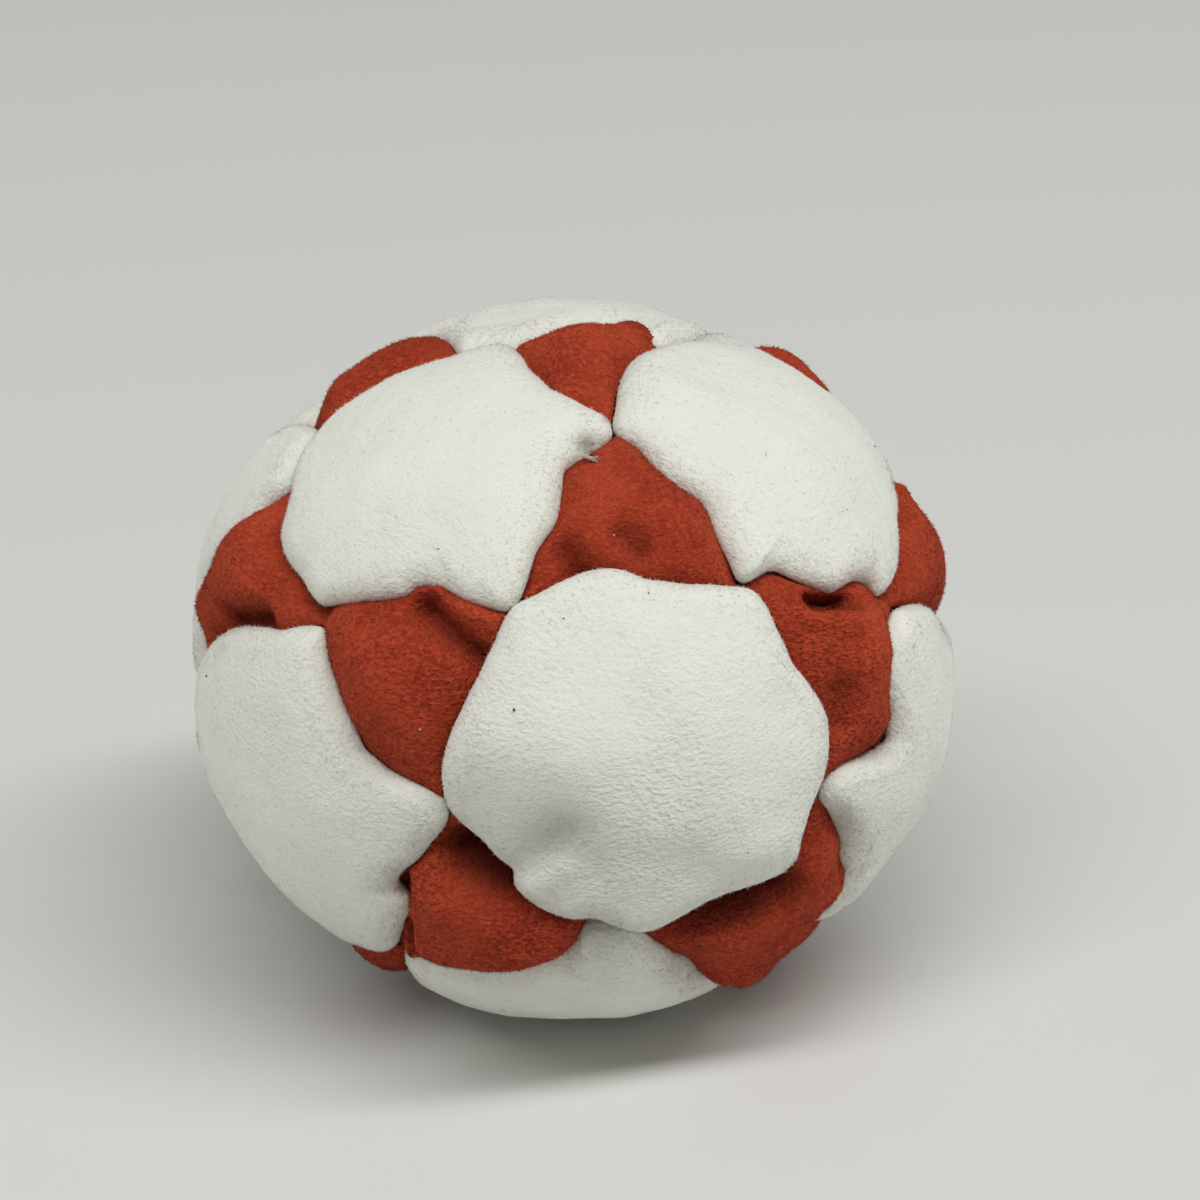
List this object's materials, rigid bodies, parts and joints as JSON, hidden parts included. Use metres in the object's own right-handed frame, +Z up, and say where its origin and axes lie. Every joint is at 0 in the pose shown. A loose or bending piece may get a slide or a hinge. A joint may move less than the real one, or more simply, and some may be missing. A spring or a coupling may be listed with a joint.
{
  "type": "footbag",
  "caption": "Soft round footbag of white five-sided and red three-sided suede panels, sewn edge to edge round a loose filling.",
  "frame": {"origin": "middle of the underside that the bag rests on, at the centre of its outline seen from above", "axes": "+Z up; the front white panel faces about -Y, so the picture looks along +Y and 26 degrees down"},
  "size_m": [0.0546, 0.0548, 0.0488],
  "materials": {
    "white_suede": "matte napped suede, slightly warm off-white",
    "red_suede": "matte napped suede, rust red",
    "thread": "matte twisted polyester thread, off-white",
    "sand": null
  },
  "bodies": {
    "root": {"white_panel_01": "white_suede", "white_panel_02": "white_suede", "white_panel_03": "white_suede", "white_panel_04": "white_suede", "white_panel_05": "white_suede", "white_panel_06": "white_suede", "white_panel_07": "white_suede", "white_panel_08": "white_suede", "white_panel_09": "white_suede", "white_panel_10": "white_suede", "white_panel_11": "white_suede", "white_panel_12": "white_suede", "red_panel_01": "red_suede", "red_panel_02": "red_suede", "red_panel_03": "red_suede", "red_panel_04": "red_suede", "red_panel_05": "red_suede", "red_panel_06": "red_suede", "red_panel_07": "red_suede", "red_panel_08": "red_suede", "red_panel_09": "red_suede", "red_panel_10": "red_suede", "red_panel_11": "red_suede", "red_panel_12": "red_suede", "red_panel_13": "red_suede", "red_panel_14": "red_suede", "red_panel_15": "red_suede", "red_panel_16": "red_suede", "red_panel_17": "red_suede", "red_panel_18": "red_suede", "red_panel_19": "red_suede", "red_panel_20": "red_suede", "seam_thread_01": "thread", "seam_thread_02": "thread", "seam_thread_03": "thread", "seam_thread_04": "thread", "seam_thread_05": "thread", "seam_thread_06": "thread", "seam_thread_07": "thread", "seam_thread_08": "thread", "seam_thread_09": "thread", "seam_thread_10": "thread", "seam_thread_11": "thread", "seam_thread_12": "thread", "closing_knot": "thread", "sand_filling": "sand"}
  },
  "joints": []
}
